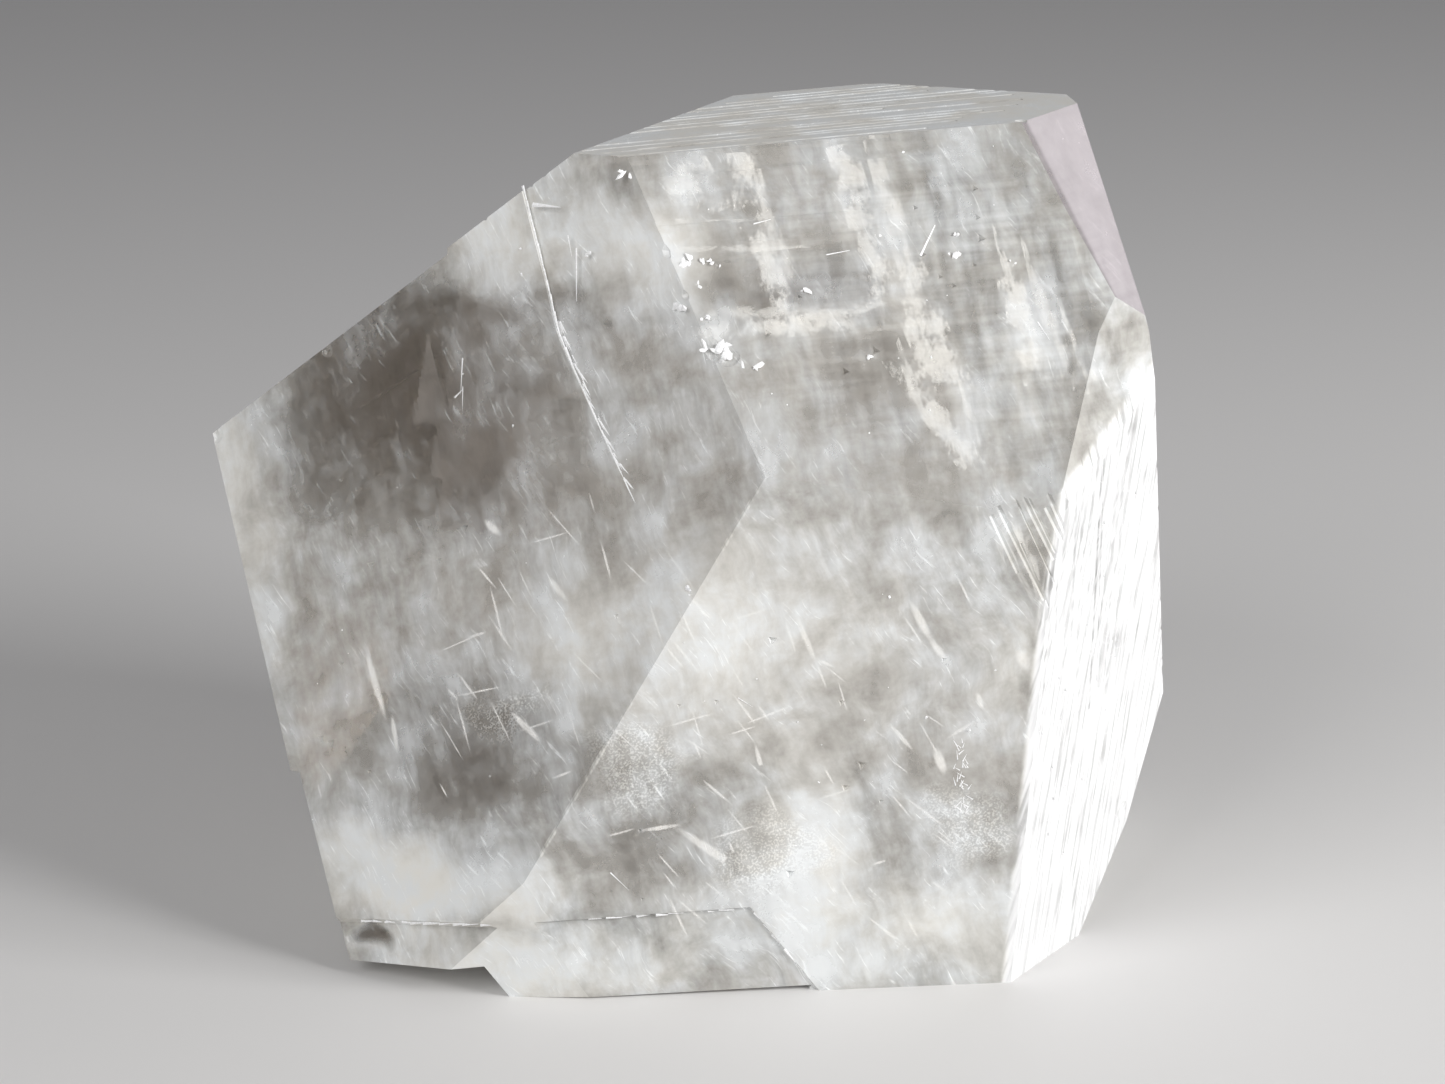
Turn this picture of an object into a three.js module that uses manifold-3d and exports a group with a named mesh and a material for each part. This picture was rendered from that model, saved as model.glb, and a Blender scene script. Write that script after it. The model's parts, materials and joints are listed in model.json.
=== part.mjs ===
// A calcite crystal about 65 mm across, grown as one piece: glassy growth faces in front, a flat
// cleaved base and top, a ribbed right side, and a back that is broken in cleavage steps.
// Millimetres, +Z up. Needs the npm packages three and manifold-3d.
import * as THREE from "three";
import { mergeVertices } from "three/addons/utils/BufferGeometryUtils.js";
import Module from "manifold-3d";

const wasm = await Module();
wasm.setup();

// ---------------------------------------------------------------- driving dimensions

// Each flat face by the bearing of its outward normal (degrees from +X towards +Y, so that 270
// faces the front), the rise of that normal above level, and the face's reach: its distance from
// the heart of the crystal.
const FACES = {
  frontLeft: face(242, 14.5, 19.9),
  frontLow: face(275.5, -3.5, 21.9),
  frontHigh: face(283, 34, 23.1),
  corner: face(286.5, 2, 24.8),
  sliver: face(294, 34.5, 26.1),
  rightFacet: face(325, 37.5, 31.6),
  rightHigh: face(310, 21, 28.9),
  right: face(325, -4.5, 28.4),
  rightBehind: face(2, 6, 28.7),
  rightFacetBehind: face(6, 12.5, 29),
  rightLow: face(8, -18, 31.9),
  rightFoot: face(4, -29, 34.2),
  top: face(159, 87.5, 26.3),
  topBehind: face(108.5, 52, 26),
  topBehindRight: face(60, 30, 27.1),
  shoulder: face(152.5, 51.5, 22.8),
  left: face(177, -17.5, 30.9),
  behindLeft: face(134, -4, 25.5),
  behindRight: face(46, 10, 24.9),
  behind: face(90.5, -16, 21.6),
  heel: face(94, -50, 25.6),
  base: face(90, -90, 28),
};

// Calcite splits along three directions, whose planes meet at 75 and 105 degrees.
const CLEAVAGE = { level: axis(159, 87.5), upright: axis(349.5, 18), facing: axis(270.5, 16) };

const LEDGE_DEPTH = 0.5; // of the curved ledge on the front left face, at its upper end
const NOTCH_DEPTH = 11.5; // of the notch in the base, back from the front left face
const RIB_DEPTH = 0.1; // of the growth lines
const RIB_WIDTH = 0.5;
const STRAY = 1.5; // degrees that a growth line may lean from its neighbours
const SEED = 11; // of the scattered pits and chips

// ---------------------------------------------------------------- directions, faces and solids

function axis(bearing, rise) {
  const b = THREE.MathUtils.degToRad(bearing);
  const r = THREE.MathUtils.degToRad(rise);
  return new THREE.Vector3(Math.cos(r) * Math.cos(b), Math.cos(r) * Math.sin(b), Math.sin(r));
}

function face(bearing, rise, reach) {
  return { normal: axis(bearing, rise), reach };
}

// A face moved out by a distance, or in where it is negative.
function moved({ normal, reach }, out) {
  return { normal, reach: reach + out };
}

// The plane with this normal through a point.
function through(point, normal) {
  return { normal, reach: normal.dot(point) };
}

// The plane through three points, with its normal on the side given.
function across(a, b, c, side) {
  const normal = new THREE.Plane().setFromCoplanarPoints(a, b, c).normal;
  if (normal.dot(side) < 0) normal.negate();
  return through(a, normal);
}

// Flat coordinates on a face, looking at it from outside: u to the right, v up (or to the back,
// on a level face) and h outwards, from the point of the face nearest to the heart.
function frameOf({ normal, reach }) {
  const level = Math.abs(normal.z) > 0.9;
  const up = level ? new THREE.Vector3(0, 1, 0) : new THREE.Vector3(0, 0, 1);
  const v = up.addScaledVector(normal, -up.dot(normal)).normalize();
  const u = new THREE.Vector3().crossVectors(v, normal);
  const foot = normal.clone().multiplyScalar(reach);
  return new THREE.Matrix4().makeBasis(u, v, normal).setPosition(foot);
}

function pointOn(onFace, u, v, h = 0) {
  return new THREE.Vector3(u, v, h).applyMatrix4(frameOf(onFace));
}

// A closed three.js geometry as a manifold-3d solid.
function solid(geometry) {
  const bare = geometry.clone();
  bare.deleteAttribute("normal");
  bare.deleteAttribute("uv");
  const merged = mergeVertices(bare, 1e-4);
  return new wasm.Manifold(
    new wasm.Mesh({
      numProp: 3,
      vertProperties: merged.attributes.position.array,
      triVerts: new Uint32Array(merged.index.array),
    }),
  );
}

function placed(geometry, ...matrices) {
  for (const matrix of matrices) geometry.applyMatrix4(matrix);
  return solid(geometry);
}

const DOWN = new THREE.Vector3(0, 0, -1);
const LEFTWARDS = new THREE.Vector3(-1, 0, 0);
const BLOCK = solid(new THREE.BoxGeometry(160, 160, 160));

// The space outside every one of these planes.
function beyond(...planes) {
  let space = BLOCK;
  for (const { normal, reach } of planes) space = space.trimByPlane(normal.toArray(), reach);
  return space;
}

// Repeatable scatter, from 0 to 1.
let state = SEED;
function chance() {
  state = (state * 16807) % 2147483647;
  return state / 2147483647;
}
function between(low, high) {
  return low + (high - low) * chance();
}

// ---------------------------------------------------------------- the body and its faces

function body() {
  let crystal = BLOCK;
  const outer = { ...FACES, left: leftPlate() };
  for (const { normal, reach } of Object.values(outer)) {
    crystal = crystal.trimByPlane(normal.clone().negate().toArray(), -reach);
  }
  return crystal;
}

// The left side carries a thin plate that thickens downwards and breaks off above the base.
function leftPlate() {
  const tip = pointOn(FACES.frontLeft, -29, 0.8);
  return through(tip, axis(177, -16.2));
}

function belowLeftPlate() {
  const edge = pointOn(FACES.frontLeft, -18.4, -20.9);
  return beyond(FACES.left, through(edge, CLEAVAGE.level.clone().negate()));
}

// ---------------------------------------------------------------- ledges, chips and steps in front

// The curved ledge that runs down the front left face and dies out half way: the strip to its
// right was broken off in a shallow shell.
function curvedLedge() {
  const ridge = [
    [-8.6, 23],
    [-6.9, 19.1],
    [-4.5, 13.7],
    [-3.1, 10.4],
    [-1.5, 8],
    [0.8, 4.7],
    [3.9, 0.4],
  ].map(([u, v]) => new THREE.Vector2(u, v));
  const outline = new THREE.Shape();
  outline.moveTo(ridge[0].x, ridge[0].y);
  outline.splineThru(ridge.slice(1));
  outline.lineTo(16, 9);
  outline.lineTo(16, 23);
  const end = new THREE.Vector3(3.9, 0.4, 0);
  const shoulder = new THREE.Vector3(12.2, 5, 0);
  const start = new THREE.Vector3(-6.9, 19.1, -LEDGE_DEPTH);
  const cut = new THREE.ExtrudeGeometry(outline, { depth: 5, bevelEnabled: false, curveSegments: 20 });
  return placed(cut, floorThrough(end, shoulder, start), frameOf(FACES.frontLeft));
}

// Slants a cut so that its floor passes through three points given in u, v and h.
function floorThrough(a, b, c) {
  const n = new THREE.Plane().setFromCoplanarPoints(a, b, c);
  const [su, sv, s0] = [-n.normal.x, -n.normal.y, -n.constant].map((x) => x / n.normal.z);
  return new THREE.Matrix4().set(1, 0, 0, 0, 0, 1, 0, 0, su, sv, 1, s0, 0, 0, 0, 1);
}

// The notch under the front left corner: a slab of the base has split away there, as far back as an
// upright break.
function baseNotch() {
  const outerEnd = pointOn(FACES.frontLeft, -13.6, -33);
  const innerEnd = pointOn(FACES.frontLeft, -2.7, -31.7);
  const toe = pointOn(FACES.frontLow, -15.8, -26.7);
  const backwards = new THREE.Vector3(-2, 8, 0);
  const roof = across(outerEnd, innerEnd, innerEnd.clone().add(backwards), DOWN);
  const side = across(innerEnd, toe, toe.clone().add(backwards), LEFTWARDS);
  const riser = through(pointOn(FACES.frontLeft, -8, -32, -NOTCH_DEPTH), axis(247, 8));
  return beyond(roof, side, riser);
}

// The blunt lower end of the ridge between the two lower front faces.
function ridgeChip() {
  return beyond(through(pointOn(FACES.frontLow, -15, -17.8), axis(266.5, -9)));
}

// The shallow step along the front of the base, deepest at its right end.
function baseStep() {
  const floor = -FACES.base.reach;
  const lip = new THREE.Vector3(6.2, -22, floor + 0.4);
  const toe = new THREE.Vector3(-15, -22, floor);
  const heel = new THREE.Vector3(4, -8, floor);
  return beyond(across(lip, toe, heel, DOWN), through(lip, axis(186, 30)));
}

// ---------------------------------------------------------------- growth lines

// One growth line: a three-sided groove sunk into a face, from one end to the other.
function groove(onFace, [u, v], length, turn, depth, width) {
  const bar = new THREE.CylinderGeometry(1, 1, length, 3);
  const lay = new THREE.Matrix4().makeRotationZ(THREE.MathUtils.degToRad(turn - 90));
  const point = new THREE.Matrix4().makeRotationY(Math.PI);
  const scale = new THREE.Matrix4().makeScale(width / Math.sqrt(3), 1, depth / 1.5);
  const sink = new THREE.Matrix4().makeTranslation(u, v, -depth / 3 + depth * 0.02);
  return placed(bar, point, scale, lay, sink, frameOf(onFace));
}

// Lines side by side on a face. Each starts at a scattered place along the strip, so that some
// stop short, as growth lines do.
function lines({ on, from, to, count, turn, length, depth = RIB_DEPTH, width = RIB_WIDTH }) {
  const cuts = [];
  for (let i = 0; i < count; i += 1) {
    const t = (i + between(-0.5, 0.5)) / (count - 1);
    const reach = length * between(0.45, 1);
    const slide = (length - reach) * between(-0.5, 0.5);
    const along = THREE.MathUtils.degToRad(turn);
    const u = THREE.MathUtils.lerp(from[0], to[0], t) + slide * Math.cos(along);
    const v = THREE.MathUtils.lerp(from[1], to[1], t) + slide * Math.sin(along);
    const lean = turn + between(-STRAY, STRAY);
    cuts.push(groove(on, [u, v], reach, lean, depth * between(0.5, 1.2), width * between(0.5, 1.2)));
  }
  return cuts;
}

const FAINT = { depth: 0.03, width: 0.6 };
const FIBROUS = { depth: 0.12, width: 0.35 };

function growthLines() {
  const { top, frontHigh, right, rightHigh, corner, shoulder } = FACES;
  const { topBehind, topBehindRight, rightBehind, behindRight, behindLeft } = FACES;
  return [
    ...lines({ on: top, from: [5, -8.5], to: [8, 9], count: 17, turn: 17, length: 34 }),
    ...lines({ on: frontHigh, from: [0, 18.5], to: [0, 9], count: 11, turn: 2.5, length: 22, ...FAINT }),
    ...lines({ on: right, from: [-6.4, 4], to: [5, 3], count: 24, turn: 97, length: 24, ...FIBROUS }),
    ...lines({ on: rightHigh, from: [-2.5, 2], to: [3, 4], count: 6, turn: 100, length: 12, ...FAINT }),
    ...lines({ on: corner, from: [11.6, 1.6], to: [15.2, 3], count: 8, turn: 116, length: 9, ...FIBROUS }),
    ...lines({ on: shoulder, from: [0, 12], to: [0, -12], count: 14, turn: -3, length: 44 }),
    ...lines({ on: topBehind, from: [0, 7], to: [0, -8], count: 9, turn: 4, length: 32 }),
    ...lines({ on: topBehindRight, from: [-7, 10], to: [-2, -11], count: 10, turn: -6, length: 30 }),
    ...lines({ on: rightBehind, from: [0, 10], to: [0, -12], count: 8, turn: 12, length: 26 }),
    ...lines({ on: behindRight, from: [-6, 10], to: [-6, -16], count: 11, turn: 9, length: 30 }),
    ...lines({ on: behindLeft, from: [4, 12], to: [4, -16], count: 11, turn: -12, length: 30 }),
  ];
}

// ---------------------------------------------------------------- terraces and cleavage steps

const RISER_SLANT = 0.6; // rise of a terrace's riser for each 1 mm that it runs

// A terrace: the outermost layer of a face, gone beyond all of these straight edges. Each edge is
// given by a point on it and the turn of the direction that points away from it.
function terrace(onFace, depth, ...edges) {
  const risers = edges.map(([u, v, turn]) => {
    const turned = THREE.MathUtils.degToRad(turn);
    const away = new THREE.Vector3(Math.cos(turned), Math.sin(turned), RISER_SLANT);
    return through(pointOn(onFace, u, v), away.transformDirection(frameOf(onFace)));
  });
  return beyond(moved(onFace, -depth), ...risers);
}

function terraces() {
  return [
    terrace(FACES.frontLeft, 0.6, [-8.4, -29, 279.4]),
    terrace(FACES.frontLow, 0.2, [-4.7, -20.5, 272], [1.2, -22.2, 216]),
    terrace(FACES.topBehind, 0.5, [0, -3, 262]),
    terrace(FACES.topBehind, 0.8, [8, 0, -24]),
    terrace(FACES.topBehindRight, 0.6, [0, -4, 258]),
    terrace(FACES.topBehindRight, 0.5, [5, 0, 12]),
    terrace(FACES.behindRight, 0.7, [-4, 0, 196]),
    terrace(FACES.behindRight, 0.6, [0, -9, 255]),
    terrace(FACES.behindLeft, 0.8, [4, -4, 262]),
    terrace(FACES.behindLeft, 0.5, [6, 0, 10]),
    terrace(FACES.shoulder, 0.35, [6, -4, 305]),
  ];
}

// A cleavage block: a slanted brick whose sides follow the three cleavage directions, with one
// corner at a point and its edges running to the right, up and out, as seen from behind.
function cleavageBlock(corner, rightwards, upwards, out) {
  const { level, upright, facing } = CLEAVAGE;
  const edges = [
    new THREE.Vector3().crossVectors(facing, level).normalize().multiplyScalar(rightwards),
    new THREE.Vector3().crossVectors(facing, upright).normalize().multiplyScalar(upwards),
    new THREE.Vector3().crossVectors(level, upright).normalize().multiplyScalar(out),
  ];
  if (new THREE.Matrix4().makeBasis(...edges).determinant() < 0) edges.reverse();
  const skew = new THREE.Matrix4().makeBasis(...edges).setPosition(corner);
  const brick = new THREE.BoxGeometry(1, 1, 1).translate(0.5, 0.5, 0.5);
  return placed(brick, skew);
}

// Steps in the back, as blocks that are missing from it: u, v and depth of the inner corner, and
// how far the block runs to the right and upwards from there.
const STEPS = [
  [-9, 7, 1.2, 14, 5],
  [-8, 12, 1.9, 8.5, 40],
  [13, 5, 2.2, 60, 40],
  [-16, 3, 1.6, -60, 40],
  [-16, -40, 1, -60, 30],
  [9, -40, 1.1, 60, 31],
  [4, -16, 0.8, 60, -40],
  [18, -4, 1.9, 60, 40],
];

function cleavageSteps() {
  return STEPS.map(([u, v, depth, rightwards, upwards]) => {
    const corner = pointOn(FACES.behind, u, v, -depth);
    return cleavageBlock(corner, rightwards, upwards, 14);
  });
}

// ---------------------------------------------------------------- chips and pits

// Shell-shaped chips along the edges: a ball sunk a little way into the edge of a face.
const CHIPS = [
  [FACES.frontHigh, -7.4, 9.4, 0.9],
  [FACES.frontHigh, -6.4, 6.6, 0.7],
  [FACES.frontHigh, -4.9, 2.9, 0.8],
  [FACES.frontHigh, -3.6, 2.2, 0.6],
  [FACES.frontLeft, -28.6, 0.6, 0.6],
  [FACES.frontLeft, -20.4, 7.2, 0.5],
  [FACES.frontLow, 18.6, -12.4, 0.5],
  [FACES.frontLow, -9, -27, 0.8],
  [FACES.top, 20.6, -5.2, 0.5],
  [FACES.top, 11.8, 12.2, 0.8],
  [FACES.right, 13.2, -8.8, 0.6],
  [FACES.right, 9.4, -18, 0.6],
  [FACES.behind, -15, 3, 1],
  [FACES.behind, 16, 10, 1.2],
  [FACES.behindLeft, 8, -6, 1],
  [FACES.behindRight, 4, 12, 1.1],
];

function chips() {
  return CHIPS.map(([onFace, u, v, radius]) => {
    const ball = new THREE.IcosahedronGeometry(radius, 2);
    const flat = new THREE.Matrix4().makeScale(between(1, 1.6), between(0.9, 1.3), 0.8);
    const turn = new THREE.Matrix4().makeRotationZ(between(0, Math.PI));
    const sink = new THREE.Matrix4().makeTranslation(u, v, radius * 0.45);
    return placed(ball, flat, turn, sink, frameOf(onFace));
  });
}

// Small pits with flat walls, as left where grains have etched out. They are three-sided cones
// turned alike on each face.
function pits() {
  const patches = [
    [FACES.frontHigh, [-2, -3], [14, 13], 12, 20],
    [FACES.frontLow, [-10, -22], [15, 5], 14, 50],
    [FACES.frontLeft, [-22, -24], [4, 8], 12, 75],
    [FACES.right, [-3, -20], [6, 8], 12, 10],
    [FACES.shoulder, [-10, -12], [10, 10], 12, 30],
    [FACES.behindLeft, [-8, -14], [8, 12], 10, 5],
    [FACES.behindRight, [-8, -14], [6, 10], 10, 65],
    [FACES.top, [0, -4], [16, 6], 8, 40],
  ];
  const cuts = [];
  for (const [onFace, low, high, count, turn] of patches) {
    for (let i = 0; i < count; i += 1) {
      const size = between(0.25, 0.6);
      const cone = new THREE.ConeGeometry(size, size * 0.7, 3);
      const point = new THREE.Matrix4().makeRotationX(-Math.PI / 2);
      const spin = new THREE.Matrix4().makeRotationZ(THREE.MathUtils.degToRad(turn));
      const u = between(low[0], high[0]);
      const v = between(low[1], high[1]);
      const sink = new THREE.Matrix4().makeTranslation(u, v, -size * 0.1);
      cuts.push(placed(cone, point, spin, sink, frameOf(onFace)));
    }
  }
  return cuts;
}

// ---------------------------------------------------------------- the finished crystal

function crystalGeometry() {
  const cuts = [
    belowLeftPlate(),
    curvedLedge(),
    baseNotch(),
    ridgeChip(),
    baseStep(),
    ...terraces(),
    ...cleavageSteps(),
    ...growthLines(),
    ...chips(),
    ...pits(),
  ];
  let crystal = body();
  for (const cut of cuts) crystal = crystal.subtract(cut);
  const mesh = crystal.getMesh();
  return new THREE.BufferGeometry()
    .setAttribute("position", new THREE.BufferAttribute(mesh.vertProperties, 3))
    .setIndex(new THREE.BufferAttribute(mesh.triVerts, 1));
}

function calciteCrystal() {
  const geometry = crystalGeometry();
  geometry.computeBoundingBox();
  const { min, max } = geometry.boundingBox;
  const look = { color: 0xdedcd6, roughness: 0.12, metalness: 0, flatShading: true };
  const crystal = new THREE.Mesh(geometry, new THREE.MeshStandardMaterial(look));
  crystal.name = "calcite_crystal";
  crystal.position.set(-(min.x + max.x) / 2, -(min.y + max.y) / 2, -min.z);
  return crystal;
}

const group = new THREE.Group();
group.add(calciteCrystal());

export default group;
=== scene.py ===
# %% [markdown]
# # A calcite crystal
# Calcite grows and splits with flat faces, and it is clear enough to look into. So this model
# has two layers of work: the outside, which is the solid's own faces with a finish that is part
# glass and part milk, and what is seen through them, cracks that are modelled as thin sheets.
# Crumbs, splinters and scratches on the faces come last.

# %% Load the crystal's solid
import json
import math
import random

import bpy
from mathutils import Matrix, Vector

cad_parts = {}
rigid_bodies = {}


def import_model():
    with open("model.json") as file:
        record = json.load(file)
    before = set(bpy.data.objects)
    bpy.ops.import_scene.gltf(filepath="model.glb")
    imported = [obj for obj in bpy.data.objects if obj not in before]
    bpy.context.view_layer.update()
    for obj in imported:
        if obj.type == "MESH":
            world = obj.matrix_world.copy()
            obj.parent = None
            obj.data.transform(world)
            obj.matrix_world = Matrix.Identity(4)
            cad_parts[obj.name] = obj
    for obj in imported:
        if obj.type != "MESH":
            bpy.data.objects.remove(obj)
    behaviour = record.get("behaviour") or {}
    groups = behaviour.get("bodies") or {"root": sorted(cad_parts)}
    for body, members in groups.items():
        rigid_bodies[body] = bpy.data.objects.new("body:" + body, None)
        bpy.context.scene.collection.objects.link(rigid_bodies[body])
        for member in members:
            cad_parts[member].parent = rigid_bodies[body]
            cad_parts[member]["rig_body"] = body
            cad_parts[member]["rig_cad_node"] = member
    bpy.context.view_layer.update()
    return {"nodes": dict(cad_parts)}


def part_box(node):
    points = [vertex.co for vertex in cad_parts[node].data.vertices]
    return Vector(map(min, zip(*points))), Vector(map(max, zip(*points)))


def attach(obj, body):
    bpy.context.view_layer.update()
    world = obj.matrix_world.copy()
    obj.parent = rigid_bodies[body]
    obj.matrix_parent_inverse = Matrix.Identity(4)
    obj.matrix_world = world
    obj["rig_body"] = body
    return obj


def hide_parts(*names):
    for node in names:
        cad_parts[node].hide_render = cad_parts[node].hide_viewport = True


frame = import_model()
MM = 0.001
NODE = "calcite_crystal"
LOW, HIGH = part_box(NODE)
print("crystal, mm:", [round(x / MM, 1) for x in HIGH - LOW])


# %% [markdown]
# ## The camera
# The crystal is seen from 18 degrees above the floor, with a long lens, as a small specimen is.
# A camera could be placed by hand, but by aim, rise and distance each can be changed alone.

# %% Camera
LENS = 85
CAMERA_RISE = math.radians(18)
CAMERA_DISTANCE = 221.8 * MM
AIM = Vector((2.06, -15.9, 29.3)) * MM


def place_camera():
    back = Vector((0, -math.cos(CAMERA_RISE), math.sin(CAMERA_RISE)))
    bpy.ops.object.camera_add(location=AIM + back * CAMERA_DISTANCE)
    camera = bpy.context.object
    camera.rotation_mode = "QUATERNION"
    camera.rotation_quaternion = (-back).to_track_quat("-Z", "Y")
    camera.data.lens = LENS
    camera.data.clip_start = 0.01
    bpy.context.scene.camera = camera


place_camera()
print("camera:", LENS, "mm lens,", round(CAMERA_DISTANCE / MM), "mm from its aim")

# %% [markdown]
# ## Helpers for modelling
# Operators act on whatever is selected, so every step starts by clearing the selection.


# %% Selecting, editing and applying
def deselect():
    bpy.ops.object.select_all(action="DESELECT")


def activate(obj):
    deselect()
    obj.select_set(True)
    bpy.context.view_layer.objects.active = obj


def edit(obj):
    activate(obj)
    bpy.ops.object.mode_set(mode="EDIT")
    bpy.ops.mesh.select_mode(type="VERT")
    bpy.ops.mesh.select_all(action="SELECT")


def leave():
    bpy.ops.object.mode_set(mode="OBJECT")


def apply_modifier(obj, kind, **settings):
    activate(obj)
    modifier = obj.modifiers.new(kind.lower(), kind)
    for key, value in settings.items():
        setattr(modifier, key, value)
    bpy.ops.object.modifier_apply(modifier=modifier.name)


def bake_place(obj):
    activate(obj)
    bpy.ops.object.transform_apply(location=True, rotation=True, scale=True)


def join(objects, name):
    deselect()
    for obj in objects:
        obj.select_set(True)
    bpy.context.view_layer.objects.active = objects[0]
    bpy.ops.object.join()
    joined = bpy.context.object
    joined.name = name
    joined.data.name = name
    return joined


def triangles(obj):
    return sum(len(p.vertices) - 2 for p in obj.data.polygons)


# %% [markdown]
# ## Shader maths as Python
# A wire is one value that flows through the nodes. Sums and products of wires add Math nodes.
# The nodes could be added one by one, but a finish with many terms reads better as a formula.


# %% Wires and finishes
class Wire:
    def __init__(self, finish, socket):
        self.finish = finish
        self.socket = socket

    def math(self, operation, first, second):
        node = self.finish.node("ShaderNodeMath", {"operation": operation}, {0: first, 1: second})
        return node["Value"]

    def __add__(self, other):
        return self.math("ADD", self, other)

    def __sub__(self, other):
        return self.math("SUBTRACT", self, other)

    def __rsub__(self, other):
        return self.math("SUBTRACT", other, self)

    def __mul__(self, other):
        return self.math("MULTIPLY", self, other)

    def above(self, other):
        return self.math("MAXIMUM", self, other)

    def below(self, other):
        return self.math("MINIMUM", self, other)

    def ease(self, low, high, start=0.0, end=1.0):
        node = self.finish.node(
            "ShaderNodeMapRange",
            {"interpolation_type": "SMOOTHSTEP"},
            {"Value": self, "From Min": low, "From Max": high, "To Min": start, "To Max": end},
        )
        return node["Result"]


class Made:
    def __init__(self, finish, node):
        self.finish = finish
        self.node = node

    def __getitem__(self, name):
        return Wire(self.finish, self.node.outputs[name])


class Finish:
    def __init__(self, name):
        self.material = bpy.data.materials.new(name)
        self.material.use_nodes = True
        self.tree = self.material.node_tree
        self.tree.nodes.clear()
        coordinates = self.node("ShaderNodeTexCoord")
        self.place = coordinates["Object"]
        self.unwrapped = coordinates["UV"]
        self.facing = coordinates["Normal"]
        self.faces = {}

    def node(self, kind, settings=None, sockets=None):
        node = self.tree.nodes.new(kind)
        for key, value in (settings or {}).items():
            setattr(node, key, value)
        for key, value in (sockets or {}).items():
            if isinstance(value, Wire):
                self.tree.links.new(value.socket, node.inputs[key])
            else:
                node.inputs[key].default_value = value
        return Made(self, node)

    def vector(self, operation, first, second):
        return self.node("ShaderNodeVectorMath", {"operation": operation}, {0: first, 1: second})

    def local(self, centre=(0, 0, 0), size=(1, 1, 1), angles=(0, 0, 0), vector=None):
        """Coordinates about a centre, turned by these angles, in units of these sizes, in mm."""
        sockets = {
            "Vector": vector or self.place,
            "Location": Vector(centre) * MM,
            "Rotation": angles,
            "Scale": Vector(size) * MM,
        }
        return self.node("ShaderNodeMapping", {"vector_type": "TEXTURE"}, sockets)["Vector"]

    def noise(self, vector, detail, roughness=0.5):
        sockets = {"Vector": vector, "Scale": 1.0, "Detail": detail, "Roughness": roughness}
        return self.node("ShaderNodeTexNoise", {}, sockets)

    def grain(self, size, detail):
        """Cloudy noise whose lumps are about this size in mm."""
        return self.noise(self.local(size=(size, size, size)), detail)["Fac"]

    def sheets(self, normal, thick, wide, detail, vector=None):
        """Noise in thin layers square to a direction: this thick and this wide, in mm."""
        size = (wide, wide, thick)
        layers = self.local(size=size, angles=turn_to(normal), vector=vector)
        return self.noise(layers, detail, roughness=0.6)["Fac"]

    def blob(self, centre, size, vector=None):
        """1 at a centre, falling to 0 at an ellipsoid of this half size, in mm."""
        sockets = {"Vector": self.local(centre, size, vector=vector)}
        return self.node("ShaderNodeTexGradient", {"gradient_type": "SPHERICAL"}, sockets)["Fac"]

    def on_face(self, normal):
        """1 on the flat face with this outward direction, and 0 on the others."""
        key = tuple(normal)
        if key not in self.faces:
            along = self.vector("DOT_PRODUCT", self.facing, normal)["Value"]
            self.faces[key] = along.ease(0.992, 0.998)
        return self.faces[key]

    def mix(self, factor, first, second):
        node = self.node("ShaderNodeMixShader", {}, {0: factor, 1: first, 2: second})
        return node["Shader"]

    def blend(self, factor, first, second):
        sockets = {0: factor, 6: first, 7: second}
        node = self.node("ShaderNodeMix", {"data_type": "RGBA"}, sockets)
        return Wire(self, node.node.outputs[2])

    def principled(self, **sockets):
        named = {key.replace("_", " "): value for key, value in sockets.items()}
        return self.node("ShaderNodeBsdfPrincipled", {}, named)["BSDF"]

    def finish(self, surface, volume=None):
        sockets = {"Surface": surface}
        if volume:
            sockets["Volume"] = volume
        self.node("ShaderNodeOutputMaterial", {}, sockets)
        return self.material


def axis(bearing, rise):
    b, r = math.radians(bearing), math.radians(rise)
    return Vector((math.cos(r) * math.cos(b), math.cos(r) * math.sin(b), math.sin(r)))


def turn_to(normal):
    """The angles that turn the Z axis to a direction."""
    return normal.to_track_quat("Z", "Y").to_euler()


# %% [markdown]
# ## The body
# The body is a copy of the solid, with its loose triangles welded. The solid itself is never
# changed: the copy stands in for it. It could be modelled again from planes, but the copy keeps
# every ledge where it is. Its shading is flat, because the faces of a crystal are flat.


# %% The body
WELD = 0.002 * MM
FLAT_ANGLE = math.radians(0.3)


def make_body():
    deselect()
    body = frame["nodes"][NODE].copy()
    body.data = frame["nodes"][NODE].data.copy()
    bpy.context.scene.collection.objects.link(body)
    body.name = "crystal_body"
    body.parent = None
    edit(body)
    bpy.ops.mesh.remove_doubles(threshold=WELD)
    bpy.ops.mesh.dissolve_limited(angle_limit=FLAT_ANGLE)
    leave()
    if body.data.has_custom_normals:
        bpy.ops.mesh.customdata_custom_splitnormals_clear()
    bpy.ops.object.shade_flat()
    body.data.materials.clear()
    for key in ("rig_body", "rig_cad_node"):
        if key in body:
            del body[key]
    return body


crystal_body = make_body()
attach(crystal_body, "root")
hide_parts(NODE)
print("body triangles:", triangles(crystal_body))

# %% [markdown]
# Cracks have to end just under the faces, and crumbs have to lie on them. So the faces that bound
# the crystal are needed as planes. They could be typed in again, but it is safer to measure them:
# a face is one of them when no corner of the crystal lies outside its plane.

# %% The faces that bound it
LEAST_FACE = 1.5 * MM * MM
SAME_DIRECTION = 0.9999  # as the cosine of the angle between two faces
FLATNESS = 0.02 * MM


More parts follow.
